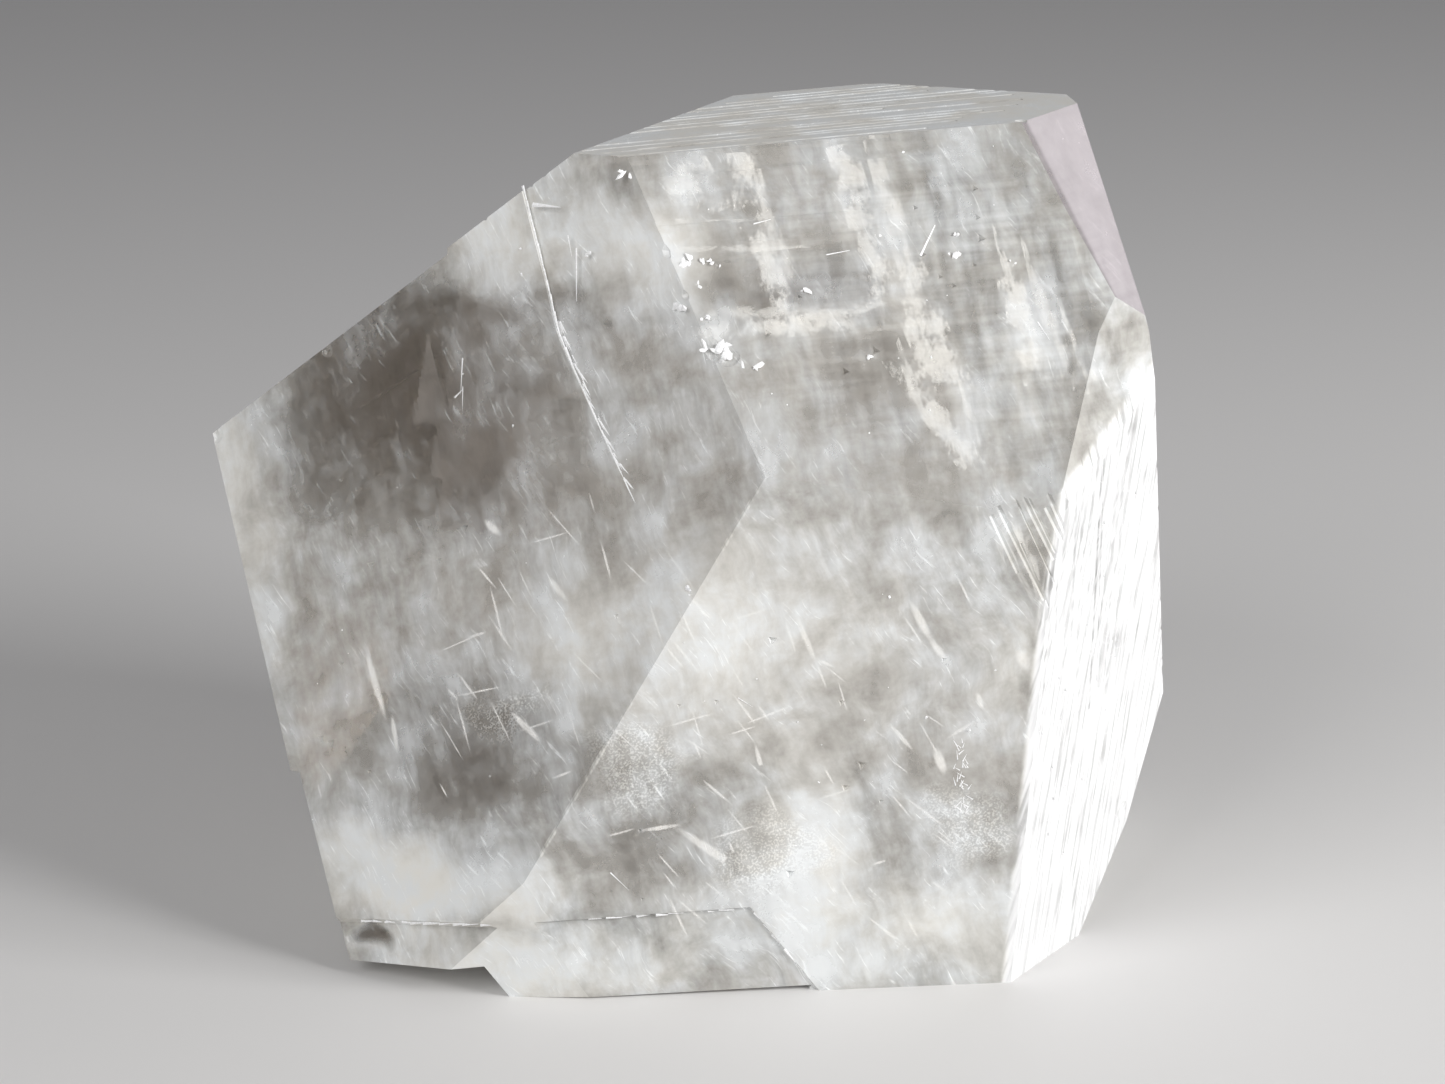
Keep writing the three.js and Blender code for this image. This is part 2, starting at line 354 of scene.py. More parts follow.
def bounding_faces(body):
    """The flat faces with nothing outside them: a direction and a distance from the origin."""
    corners = [v.co for v in body.data.vertices]
    found = []
    for polygon in body.data.polygons:
        known = any(normal.dot(polygon.normal) > SAME_DIRECTION for normal, _ in found)
        if polygon.area < LEAST_FACE or known:
            continue
        reach = polygon.normal.dot(polygon.center)
        if max(polygon.normal.dot(corner) for corner in corners) < reach + FLATNESS:
            found.append((polygon.normal.copy(), reach))
    return found


def face_distance(normal):
    """How far the bounding face with about this direction lies from the origin."""
    return max(BOUNDS, key=lambda bound: bound[0].dot(normal))[1]


BOUNDS = bounding_faces(crystal_body)
print("bounding faces:", len(BOUNDS))

# %% [markdown]
# ## Calcite
# Calcite is clear like glass and bends light strongly. In places it is filled with countless
# tiny bubbles and healed cracks, and there it turns to milk. A cloudy volume would be truer, but
# it is slow and grainy, so one finish mixes plain glass with milk, place by place.


# %% Directions in the crystal
LEVEL = axis(159, 87.5)
UPRIGHT = axis(349.5, 18)
FACING = axis(270.5, 16)
FRONT_LEFT = axis(242, 14.5)
FRONT_LOW = axis(275.5, -3.5)
FRONT_HIGH = axis(283, 34)
CORNER = axis(286.5, 2)
FOOT = axis(266.5, -9)
RIGHT_FACET = axis(325, 37.5)
RIGHT_HIGH = axis(310, 21)
RIGHT = axis(325, -4.5)
TOP = LEVEL

# %% [markdown]
# Where the crystal is milky and where it is clear is set by listed soft egg shapes: each has a
# centre, half sizes and a strength, which is negative where it clears the milk. Noise alone
# would put the clouds anywhere. It frays the eggs' outlines, so no egg can be told from a cloud.

# %% Where the milk is
# Centre and half size in mm, and how much milkier it is there.
CLOUDS = [
    ((-31, -8, 26), (4.5, 8, 30), 0.4),  # the left edge
    ((-19, -21, 7.6), (12, 9, 4), 0.78),  # along the foot of the left face
    ((7.4, -22, 9), (3.4, 12, 11), 0.4),  # an upright band over the foot
    ((3, -24, 24.5), (14, 10, 10), 0.25),  # the middle
    ((-13, -11, 50), (12, 8, 5.5), 0.38),  # under the upper left edge
    ((-3.5, -17, 49), (6, 8, 5), 0.42),  # right of the curved ledge
    ((16, -21, 4), (11, 8, 5), 0.4),  # the foot of the right half
    ((-7, -20.5, 24), (5.5, 6, 8), 0.34),
    ((0, -24, 27), (6, 8, 8), 0.12),
    ((20, -21, 23), (4, 8, 5), 0.25),
    ((21, -17, 40), (4, 7, 5), 0.2),
    ((1, -24, 5.5), (5, 8, 5), 0.18),
    ((-12, -22, 2.5), (18, 8, 3), 0.35),
    ((-20.5, -11, 38), (14, 12, 11), -0.62),
    ((-11, -15, 35), (7, 9, 8), -0.25),
    ((-7, -16, 44), (4, 7, 3.5), -0.1),
    ((-12, -12.5, 44.5), (6, 7, 3.5), -0.28),
    ((-14, -19, 17), (10, 9, 6.5), -0.27),
    ((7, -17, 46.5), (8, 8, 2.2), -0.25),
    ((-21.6, -20, 3), (2, 4, 1.4), -0.8),
    ((-3, -24, 13), (7, 7, 5), -0.2),
]
FRAY = 8 * MM
BEND = 3 * MM


class Swirl:
    """Places pushed about by a soft noise, far for frayed clouds and a little for bent streaks."""

    def __init__(self, f):
        noise = f.noise(f.local(size=(7, 7, 7)), 2)["Color"]
        push = f.vector("SUBTRACT", noise, (0.5, 0.5, 0.5))["Vector"]
        far = f.vector("MULTIPLY", push, (FRAY, FRAY, FRAY))["Vector"]
        near = f.vector("MULTIPLY", push, (BEND, BEND, BEND))["Vector"]
        self.frayed = f.vector("ADD", f.place, far)["Vector"]
        self.bent = f.vector("ADD", f.place, near)["Vector"]


def milkiness(f, frayed):
    """How much more or less milky the crystal is here than the rest of its face."""
    milk = 0.0
    for centre, size, strength in CLOUDS:
        milk = f.blob(centre, size, frayed) * strength + milk
    return milk


print("clouds:", len(CLOUDS))

# %% [markdown]
# The faces differ too. Some are polished and some are etched, and a face is told from the others
# by the direction in which its surface points.

# %% The milk of each face
FACE_MILK = [
    (FRONT_LEFT, 0.49),
    (FRONT_LOW, 0.51),
    (CORNER, 0.45),
    (RIGHT_HIGH, 0.58),
    (TOP, 0.9),
]
OTHER_MILK = 0.65
# The upper front face is told by its place, so that the growth lines cut in it count as
# part of it.
UPPER_MILK = 0.45


def close_to(f, normal, full, none):
    """1 where a bounding face is at least this close, in mm, and 0 from a longer distance on."""
    inside = face_distance(normal) - f.vector("DOT_PRODUCT", f.place, normal)["Value"]
    return inside.ease(full * MM, none * MM, 1.0, 0.0)


def face_milk(f, upper):
    milk = upper * (UPPER_MILK - OTHER_MILK) + OTHER_MILK
    for normal, level in FACE_MILK:
        milk = f.on_face(normal) * (level - milk) + milk
    return milk


# %% [markdown]
# An edge is always a little bruised, and it catches the light, so it shows as a thin pale line:
# partly wear and partly a painted highlight. It could be bevelled, but the line is thinner than
# any bevel that the solid allows. So the finish finds it: an edge is where two faces are both
# close by. Patches of fine etching are frosted in the same way.

# %% Worn edges with a painted highlight, and frosted patches
PALE_EDGE_FACES = [FRONT_LEFT, FRONT_LOW, CORNER, FOOT]
EDGE_WIDTH = 0.16
FROSTED = [
    ((-3.2, -23.7, 16.5), (5, 5, 3.6)),
    ((4.8, -22.6, 10.1), (4, 5, 4)),
    ((-12.3, -20, 19.9), (5, 5, 1.8)),
    ((18, -21.7, 12), (4, 5, 4)),
]


# A pale line along the edges: partly wear, partly a painted highlight.
def worn_and_lit_edges(f):
    close_by = -1.0
    for normal in PALE_EDGE_FACES:
        close_by = close_to(f, normal, 0.0, EDGE_WIDTH) + close_by
    return close_by.ease(0.0, 0.6)


def frosted(f, frayed):
    patches = 0.0
    for centre, size in FROSTED:
        patches = f.blob(centre, size, frayed) + patches
    grit = f.grain(0.14, 1)
    return patches.ease(0.05, 0.6) * grit.ease(0.45, 0.65)


# %% [markdown]
# The same noises serve the milk, the glass and the white, so that a wisp is milkier, rougher and
# cooler in one place. They are made once, which also keeps the finish quick.

# %% The noises of the calcite
MIDDLE = 0.5  # what a noise comes to on average
FLECK_LEAN = axis(352, 38)
FIBRE_LEAN = axis(240, 6)


class Grains:
    """The noises and places that the milk, the glass and the white share."""

    def __init__(self, f):
        swirl = Swirl(f)
        self.frayed = swirl.frayed
        self.wisps = f.noise(f.local(size=(4, 4, 4), vector=swirl.bent), 5, roughness=0.62)["Fac"]
        self.streaks = f.sheets(UPRIGHT, 0.7, 3.5, 3, vector=swirl.bent)
        self.flecks = f.sheets(FLECK_LEAN, 0.2, 2.2, 3, vector=swirl.bent)
        self.fibres = f.sheets(FIBRE_LEAN, 0.35, 6, 2)
        self.white_side = close_to(f, RIGHT, 0.15, 0.6)


# %% [markdown]
# The haze is the share of milk at a place, from 0 for clear glass to 1. It adds up the face, the
# clouds, a fine texture, and the fibrous right side, and then the worn edges with their painted
# highlight, and the frosted patches.

# %% The haze
LEAST_HAZE = 0.03
MOST_HAZE = 0.88
WHITE_SIDE_HAZE = 0.1
FROST_HAZE = 0.25
LEVEL_SHARE = 0.4
# Centre and half size in mm of where fine growth bands show, in the upper face.
BANDED_PLACE = ((17, -16, 46), (20, 16, 18))


def texture(f, grains, smooth):
    """The milk's fine unevenness: wisps everywhere, bands high in front, fibres on the right."""
    upright = f.sheets(UPRIGHT, 1.6, 14, 2) - MIDDLE
    level = f.sheets(LEVEL, 0.6, 14, 2) - MIDDLE
    banded = f.blob(*BANDED_PLACE).ease(0.1, 0.6, 0.0, 0.6)
    streaky = (grains.streaks - MIDDLE) * grains.wisps.ease(0.3, 0.7, 0.15, 0.5)
    wispy = (grains.wisps - MIDDLE + streaky) * smooth
    fibrous = grains.white_side * grains.fibres.ease(0.35, 0.6, 0.1, 0.6)
    return wispy + upright * banded + level * banded * LEVEL_SHARE + fibrous


def haze(f, grains):
    upper = close_to(f, FRONT_HIGH, 0.2, 0.5)
    even = f.on_face(TOP).above(f.on_face(RIGHT_FACET)).above(upper * 0.5)
    smooth = even.ease(0.0, 1.0, 1.0, 0.3)
    milk = face_milk(f, upper) + milkiness(f, grains.frayed) + texture(f, grains, smooth)
    flecks = grains.flecks.ease(0.58, 0.72, 0.0, 0.34) * grains.wisps.ease(0.44, 0.6) * smooth
    soft = milk.ease(0.0, 1.0, LEAST_HAZE, MOST_HAZE)
    soft = soft + grains.white_side * WHITE_SIDE_HAZE + flecks
    # The edges' pale line, partly wear and partly a painted highlight, is mixed in as milk.
    edge_wear_and_highlight = worn_and_lit_edges(f) * grains.streaks.ease(0.35, 0.65, 0.3, 0.72)
    return (soft.above(edge_wear_and_highlight) + frosted(f, grains.frayed) * FROST_HAZE).below(1.0)


# %% [markdown]
# The milk is a cream that turns cooler in the wisps, a faint lavender on the right facet, and
# chalk on the right side. The glass has calcite's refraction, and an absorption that gives it a
# warm tint and also darkens what is seen through it, as painted shade for a dark background.

# %% The calcite finish
CALCITE_IOR = 1.6
GLASS_TINT = (0.95, 0.93, 0.91, 1)
CREAM = (0.9, 0.88, 0.82, 1)
COOL_WHITE = (0.87, 0.89, 0.89, 1)
LAVENDER = (0.68, 0.63, 0.655, 1)
DULL_CHALK = (0.7, 0.7, 0.7, 1)
BRIGHT_CHALK = (0.92, 0.92, 0.92, 1)
# A warm tint of calcite, made strong enough to darken what is seen through it: painted shade.
TINT_AND_SHADE_ABSORPTION = {"Color": (0.78, 0.74, 0.7, 1), "Density": 50.0}


def milk_white(f, grains):
    cream = f.blend(grains.wisps.ease(0.35, 0.65), CREAM, COOL_WHITE)
    tinted = f.blend(f.on_face(RIGHT_FACET), cream, LAVENDER)
    chalk = f.blend(grains.fibres.ease(0.35, 0.65), DULL_CHALK, BRIGHT_CHALK)
    return f.blend(grains.white_side, tinted, chalk)


def calcite():
    f = Finish("calcite")
    grains = Grains(f)
    grooves = f.sheets(UPRIGHT, 0.7, 5, 2)
    bump = f.node("ShaderNodeBump", {}, {"Height": grooves, "Strength": 0.1, "Distance": 0.0001})
    glass = f.principled(
        Base_Color=GLASS_TINT,
        Roughness=grains.wisps.ease(0.35, 0.7, 0.03, 0.3),
        IOR=CALCITE_IOR,
        Transmission_Weight=1.0,
        Normal=bump["Normal"],
    )
    milk = f.principled(
        Base_Color=milk_white(f, grains),
        Roughness=0.25,
        IOR=CALCITE_IOR,
        Normal=bump["Normal"],
    )
    # Absorption: calcite's warm tint, and painted shade in place of a dark background.
    absorption_and_shade = f.node("ShaderNodeVolumeAbsorption", {}, TINT_AND_SHADE_ABSORPTION)
    return f.finish(f.mix(haze(f, grains), glass, milk), absorption_and_shade["Volume"])


crystal_body.data.materials.append(calcite())
print("calcite nodes:", len(crystal_body.active_material.node_tree.nodes))

# %% [markdown]
# ## What lies inside
# A crack is a thin sheet of air inside the crystal. It could be painted on the face, but only a
# sheet shifts against the face as the view turns. It starts as a grid, is rumpled by a displace
# modifier, and is cut off just under the crystal's faces by bisecting it with each of them.
# Solidify then closes it. What keeps it from looking like a card is its finish, which is mostly
# empty: noise decides where it is seen.

# %% One thin sheet
SKIN = 0.6 * MM
SHEET_THICKNESS = 0.03 * MM


def in_plane(normal, turn=0):
    """A matrix whose X runs level along a plane, Y up along it, and Z along its direction."""
    up = Vector((0, 1, 0)) if abs(normal.z) > 0.9 else Vector((0, 0, 1))
    v = (up - normal * up.dot(normal)).normalized()
    u = v.cross(normal)
    basis = Matrix((u, v, normal)).transposed().to_4x4()
    return basis @ Matrix.Rotation(math.radians(turn), 4, "Z")


def trim(sheet, skin):
    """Cuts off what comes nearer to a face of the crystal than the skin."""
    for normal, distance in BOUNDS:
        if all(normal.dot(v.co) < distance - skin for v in sheet.data.vertices):
            continue
        edit(sheet)
        bpy.ops.mesh.bisect(plane_co=normal * (distance - skin), plane_no=normal, clear_outer=True)
        leave()


def thin_sheet(centre, normal, size, wave, wave_size, turn=0, cells=12, skin=SKIN):
    """A closed thin sheet at a centre, of a width and height, with waves. All in mm."""
    deselect()
    bpy.ops.mesh.primitive_grid_add(x_subdivisions=cells, y_subdivisions=cells, size=1)
    sheet = bpy.context.object
    edit(sheet)
    bpy.ops.transform.resize(value=(size[0] * MM, size[1] * MM, 1))
    leave()
    sheet.matrix_world = Matrix.Translation(Vector(centre) * MM) @ in_plane(normal, turn)
    bake_place(sheet)
    rumple = bpy.data.textures.new("rumple", "CLOUDS")
    rumple.noise_scale = wave_size * MM
    settings = {"texture": rumple, "texture_coords": "GLOBAL", "strength": wave * MM}
    apply_modifier(sheet, "DISPLACE", **settings)
    trim(sheet, skin)
    apply_modifier(sheet, "SOLIDIFY", thickness=SHEET_THICKNESS, offset=0)
    return sheet


def whole_piece(parts, name, finish):
    piece = join(parts, name)
    piece.data.materials.clear()
    piece.data.materials.append(finish)
    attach(piece, "root")
    print(name, "triangles:", triangles(piece))


# %% [markdown]
# A place on a face could be worked out by hand, but the faces are slanted, so two helpers do it.
# One takes the face's own coordinates, along it, up it and out of it. The other takes a place in
# the part and moves it square onto the face.

# %% Places on a face
HEART = Vector((2.06, -1.876, 28)) * MM  # the faces of the solid are measured from here
NEARLY_ON = 0.05 * MM


def spot_on(normal, u, v, h=0.0):
    """A point by its distances in mm along, up and out from the face's point nearest the heart."""
    foot = HEART + normal * (face_distance(normal) - normal.dot(HEART))
    basis = in_plane(normal)
    return foot + basis @ (Vector((u, v, h)) * MM)


def onto(normal, at, h=0.0):
    """The point of a face that is nearest to a place in mm, raised by h mm."""
    place = Vector(at) * MM
    return place + normal * (face_distance(normal) - normal.dot(place) + h * MM)


def on_crystal(point):
    return all(normal.dot(point) < distance + NEARLY_ON for normal, distance in BOUNDS)


# %% [markdown]
# ## Cleavage cracks
# Calcite cracks along its three cleavage directions, and two of them show in front. The level
# cracks are seen almost edge-on, as thin bright lines, and the upright ones as bands. Where they
# end they are torn, which shows as ragged patches just under the upper face. Light through glass
# hardly reaches them, so they glow a little instead of being lit.

# %% Cleavage cracks
BACKWARDS = Vector((0, 1, 0))
INWARDS = Vector((0.18, 0.98, 0))
CRACK_START = 0.5  # how far behind its front edge a crack begins, in mm

# Centre of the crack's front edge, how far it runs along the face, and how deep it goes.
LEVEL_CRACKS = [
    ((6.6, -18, 44.5), 12.5, 3.0),
    ((5.4, -15.6, 48.4), 13, 1.2),
    ((3.4, -14.7, 50.1), 9, 0.7),
    ((-18, -21.4, 4.4), 10, 0.9),
    ((-2, -24, 5.2), 13, 0.6),
]
UPRIGHT_CRACKS = [
    ((11.9, -13, 50), 12.5, 5.5),
    ((4.2, -14.7, 50.1), 10, 4.0),
    ((17.2, -19.6, 38.8), 8, 2.0),
    ((19.9, -13.5, 46.3), 13, 2.2),
    ((21.8, -14.1, 45.1), 15, 3.4),
    ((23.6, -14.6, 43.8), 12, 1.6),
    ((13.6, -19, 40), 6, 2.4),
    ((20.3, -22.3, 31.4), 5, 1.6),
    ((20.9, -22.1, 30.2), 6, 2.0),
    ((21.9, -21.9, 28.5), 6, 1.4),
]
# Ragged ends of cracks, just under the upper face: middle, width, height and turn.
TORN_ENDS = [
    ((11.3, -13.4, 49.6), 2.1, 12, 8),
    ((3.5, -12.6, 53.4), 2, 5.6, 0),
    ((5.1, -16.2, 47.5), 1.8, 8, 12),
    ((15.5, -19.6, 39.3), 1.8, 9, 28),
    ((5.6, -18.3, 44.5), 14, 1.5, 1),
    ((0.4, -13.9, 52.4), 3.4, 4, 20),
    ((15.2, -16.6, 43.8), 3, 9, 14),
    ((21.4, -15.5, 44), 1.8, 8, 6),
]
TORN_DEPTH = 0.8


def cracks():
    parts = []
    for edge, width, depth in LEVEL_CRACKS:
        centre = Vector(edge) + BACKWARDS * (depth / 2 + CRACK_START)
        parts.append(thin_sheet(centre, LEVEL, (width, depth), 0.25, 2.5))
    for edge, height, depth in UPRIGHT_CRACKS:
        centre = Vector(edge) + INWARDS * (depth / 2 + CRACK_START)
        parts.append(thin_sheet(centre, UPRIGHT, (depth, height), 0.3, 3))
    for middle, width, height, turn in TORN_ENDS:
        centre = onto(FRONT_HIGH, middle, -TORN_DEPTH) / MM
        parts.append(thin_sheet(centre, FRONT_HIGH, (width, height), 0.2, 2, turn))
    return parts


def egg_fade(f):
    """1 in the middle of a sheet's own map, fading to 0 at its edges."""
    sockets = {"Vector": f.unwrapped, "Location": (0.5, 0.5, 0), "Scale": (0.5, 0.5, 1)}
    middle = f.node("ShaderNodeMapping", {"vector_type": "TEXTURE"}, sockets)["Vector"]
    gradient = {"gradient_type": "SPHERICAL"}
    return f.node("ShaderNodeTexGradient", gradient, {"Vector": middle})["Fac"]


def crack_finish():
    f = Finish("crack")
    fibres = f.noise(f.local(size=(0.3, 0.3, 1.3)), 4, roughness=0.7)["Fac"]
    gaps = f.grain(1.6, 2)
    ragged = egg_fade(f) * 0.35 + fibres * 1.1 + gaps * 1.4
    seen = ragged.ease(1.22, 1.56, 0.0, 0.6)
    surface = f.principled(
        Base_Color=(0.97, 0.96, 0.93, 1),
        Roughness=0.2,
        Alpha=seen,
        Emission_Color=(1.0, 0.99, 0.96, 1),
        Emission_Strength=0.26,
    )
    return f.finish(surface)


whole_piece(cracks(), "cleavage_cracks", crack_finish())

# %% [markdown]
# Short curved cracks lie under the lower faces like blades of grass. They could be curves with a
# round section, but a crack is flat. So each is a narrow sheet that faces the front, and its
# finish fades it out towards its outline. The clear ones are placed one by one and fine threads
# are scattered between them, always in the same way.

# %% Blades
# Place on the face, how long, how wide, and how far it is turned from level.
BLADES = [
    ((-20.8, -15.5, 19.5), 6.5, 0.7, -72),
    ((-19.4, -17.3, 16.4), 3, 0.5, -80),
    ((7.3, -23.2, 25.4), 4.4, 0.5, -68),
    ((8.6, -23, 23.6), 1.4, 0.3, -25),
    ((14.6, -22.6, 26.4), 3.6, 0.7, -62),
    ((15.8, -22.5, 24.3), 2.4, 0.6, -55),
    ((1.3, -22.9, 10.6), 7, 0.8, -36),
    ((-2, -23.3, 12.4), 3.4, 0.4, 8),
    ((16.1, -21.9, 16.5), 2.4, 0.8, -68),
    ((-8.4, -19.8, 27.4), 2.6, 0.6, -48),
    ((-10.4, -21.3, 18.4), 3.6, 0.6, -42),
    ((-12.6, -16.4, 30.4), 1.8, 0.7, -40),
    ((4.4, -23.3, 17.1), 2.6, 0.4, -75),
    ((13.5, -22.2, 18.3), 3, 0.4, -50),
    ((17.4, -21.8, 18.6), 2.6, 0.3, 32),
    ((21.3, -21.8, 23.4), 2, 1, -66),
    ((18.6, -21.9, 20.6), 1.6, 0.5, -70),
    ((-24.4, -13, 24.4), 3, 0.6, -70),
]
BLADE_DEPTH = 1.1
THREAD_COUNT = 84
THREAD_TURNS = (-1, -1, -1, 0.3)  # most threads lean the same way
THREAD_SKIN = SKIN / 3
# Left, right, low and high bound of each patch of threads.
THREAD_PATCHES = [
    (-17, -6, 12, 34),
    (-6, 4, 10, 30),
    (3, 19, 8, 30),
    (-4, 17, 3, 14),
]


def blades():
    parts = []
    for place, length, width, turn in BLADES:
        centre = Vector(place) - FACING * BLADE_DEPTH
        parts.append(thin_sheet(centre, FACING, (length, width), 0.8, 3, turn))
    scatter = random.Random(12)
    for i in range(THREAD_COUNT):
        left, right, low, high = THREAD_PATCHES[i % len(THREAD_PATCHES)]
        x, z = scatter.uniform(left, right), scatter.uniform(low, high)
        length, width = scatter.uniform(1.2, 4.5), scatter.uniform(0.1, 0.26)
        centre = under_face(x, z, scatter.uniform(0.6, 1.6))
        turn = scatter.choice(THREAD_TURNS) * scatter.uniform(35, 75)
        size = (length, width)
        parts.append(thin_sheet(centre, FACING, size, 1.0, 2.5, turn, cells=6, skin=THREAD_SKIN))
    return parts


def under_face(x, z, depth):
    """The place in mm that lies this deep behind the front surface at x and z."""
    point = Vector((x, 0, z)) * MM
    facing = [bound for bound in BOUNDS if bound[0].y < -0.4]
    front = max((normal.dot(point) - reach) / -normal.y for normal, reach in facing)
    return Vector((x, front / MM + depth, z))


def glowing_blade_finish():
    f = Finish("blade")
    fibres = f.sheets(UPRIGHT, 0.3, 2, 3)
    seen = egg_fade(f).ease(0.02, 0.7, 0.0, 0.9) * fibres.ease(0.3, 0.6, 0.4, 1.0)
    # The blades glow a little, as painted light, because light through the glass hardly reaches
    # them.
    surface = f.principled(
        Base_Color=(0.97, 0.96, 0.94, 1),
        Roughness=0.3,
        Alpha=seen,
        Emission_Color=(1.0, 0.99, 0.97, 1),
        Emission_Strength=0.42,
    )
    return f.finish(surface)


whole_piece(blades(), "curved_cracks", glowing_blade_finish())

# %% [markdown]
# ## What lies on the faces
# Splinters and crumbs are white because they are crushed. They could be a bump in the finish, but
# they stand out against the face's edge, so they are small solids. A splinter is a four-sided
# cone and a crumb a coarse ball, both flattened on their face, with their corners pushed about so
# that no two are alike.


# %% Splinters and crumbs
SPLINTER_FLATNESS = 0.35
CRUMB_FLATNESS = 0.5


def splinter(at, normal, length, width, turn, seed):
    """A flat pointed sliver at a point, with its length along its turned direction."""
    deselect()
    bpy.ops.mesh.primitive_cone_add(
        vertices=4, radius1=width * MM / 2, radius2=width * MM / 8, depth=length * MM)
    obj = bpy.context.object
    edit(obj)
    bpy.ops.transform.vertex_random(offset=width * MM * 0.2, seed=seed)
    bpy.ops.transform.resize(value=(1, SPLINTER_FLATNESS, 1))
    leave()
    along = in_plane(normal, turn - 90) @ Matrix.Rotation(math.radians(-90), 4, "X")
    obj.matrix_world = Matrix.Translation(at) @ along
    bake_place(obj)
    return obj


def crumb(at, normal, size, seed):
    """A flat angular crumb at a point, of a width and height in mm."""
    deselect()
    bpy.ops.mesh.primitive_ico_sphere_add(subdivisions=1, radius=MM / 2)
    obj = bpy.context.object
    edit(obj)
    bpy.ops.transform.vertex_random(offset=0.34 * MM, seed=seed)
    bpy.ops.transform.resize(value=(size[0], size[1], min(size) * CRUMB_FLATNESS))
    leave()
    obj.matrix_world = Matrix.Translation(at) @ in_plane(normal, seed * 37 % 180)
    bake_place(obj)
    return obj


def crushed_finish():
    f = Finish("crushed_calcite")
    speck = f.grain(0.12, 2)
    white = f.blend(speck.ease(0.35, 0.65), (0.82, 0.82, 0.81, 1), (0.97, 0.97, 0.98, 1))
    return f.finish(f.principled(Base_Color=white, Roughness=0.35, IOR=CALCITE_IOR))


# %% [markdown]
# The curved ledge on the left face broke with hackles: a bright torn line, with splinters that
# run off it to the lower right. One long strip would be too clean, so short splinters overlap
# along it.

# %% The torn line of the curved ledge
# Corners of the line, in the left face's own coordinates.
LEDGE = [(-6.9, 19.1), (-4.5, 13.7), (-3.1, 10.4), (-1.5, 8), (0.8, 4.7), (3.9, 0.4)]
LEDGE_SLANT = (0.0112, -0.0202, -0.0356)
TORN_COUNT = 46
HACKLE_COUNT = 44
HACKLE_ROOTS = (0.36, 0.42)  # two hackles grow higher up; the others grow on the lower half


def ledge_floor(u, v):
    """How deep the ledge's floor lies under the left face, in mm, negative inwards."""
    return LEDGE_SLANT[0] * u + LEDGE_SLANT[1] * v + LEDGE_SLANT[2]


def along_ledge(t):
    """The place and direction at a share of the ledge's length."""
    step = t * (len(LEDGE) - 1)
    i = min(int(step), len(LEDGE) - 2)
    start, end = Vector(LEDGE[i]), Vector(LEDGE[i + 1])
    return start.lerp(end, step - i), end - start


def hackles():
    scatter = random.Random(3)
    parts = []
    for i in range(TORN_COUNT):
        t = (i + scatter.random()) / TORN_COUNT
        place, way = along_ledge(t)
        turn = math.degrees(math.atan2(way.y, way.x))
        h = ledge_floor(*place) / 2
        at = spot_on(FRONT_LEFT, place.x + 0.05, place.y, h)
        width = scatter.uniform(0.1, 0.24)
        parts.append(splinter(at, FRONT_LEFT, scatter.uniform(0.8, 1.9), width, turn, i))
    for i in range(HACKLE_COUNT):
        lower = [scatter.uniform(0.5, 0.97) for _ in range(4)]
        place, way = along_ledge(scatter.choice((*HACKLE_ROOTS, *lower)))
        turn = math.degrees(math.atan2(way.y, way.x)) + scatter.uniform(2, 16)
        length = scatter.uniform(0.6, 2.2)
        off = Vector((math.cos(math.radians(turn)), math.sin(math.radians(turn)))) * length * 0.4
        u = place.x + off.x + scatter.uniform(0, 0.35)
        at = spot_on(FRONT_LEFT, u, place.y + off.y, ledge_floor(*(place + off)))
        parts.append(splinter(at, FRONT_LEFT, length, scatter.uniform(0.05, 0.13), turn, 50 + i))
    return parts


whole_piece(hackles(), "ledge_hackles", crushed_finish())

# %% [markdown]
# Crumbs lie where an edge was knocked, mostly along the upper edge between the two big front
# faces, and fine dust lies everywhere in front. The crumbs are placed one by one, each as a small
# cluster, because a single one looks like a bead. The dust is scattered.

# %% Crumbs and dust
# Place on the surface, width and height.
CRUMBS = [
    (FRONT_HIGH, (-4, -14.4, 53.3), (1.1, 0.45)),
    (FRONT_HIGH, (0.1, -16.9, 48.2), (1.0, 0.7)),
    (FRONT_HIGH, (0.9, -16.9, 48.3), (0.8, 0.4)),
    (FRONT_HIGH, (1.7, -16.9, 48), (0.6, 0.35)),
    (FRONT_HIGH, (0.6, -17.7, 46.9), (0.5, 0.4)),
    (FRONT_LEFT, (-0.4, -18.6, 45.8), (0.9, 1.0)),
    (FRONT_HIGH, (1, -18.9, 45.1), (0.5, 0.4)),
    (FRONT_HIGH, (1.4, -20, 43.3), (1.3, 0.7)),
    (FRONT_HIGH, (2.3, -19.8, 43.3), (0.9, 1.2)),
    (FRONT_HIGH, (3.8, -20.2, 42.2), (1.2, 0.4)),
    (FRONT_HIGH, (11.4, -18.4, 42.4), (0.5, 0.3)),
    (FRONT_HIGH, (7.2, -16.7, 46.3), (0.8, 0.3)),
    (FRONT_HIGH, (16.9, -13.3, 47.8), (0.7, 0.5)),
    (FRONT_HIGH, (17, -12.5, 48.9), (0.4, 0.3)),
    (FRONT_HIGH, (20.8, -12.9, 47.1), (0.4, 0.4)),
    (FRONT_LEFT, (-6.5, -14.6, 48.2), (0.4, 0.35)),
    (FRONT_LEFT, (-0.1, -23.8, 28.6), (0.4, 0.5)),
]
CLUSTER = 4  # crumbs that make up each of them
DUST_COUNT = 90
# Face, and the bounds of the patch along it and up it.
DUST_PATCHES = [
    (FRONT_LEFT, (-20, 4), (-22, 18)),
    (FRONT_LOW, (-8, 16), (-26, 4)),
    (FRONT_HIGH, (-4, 18), (-4, 16)),
]


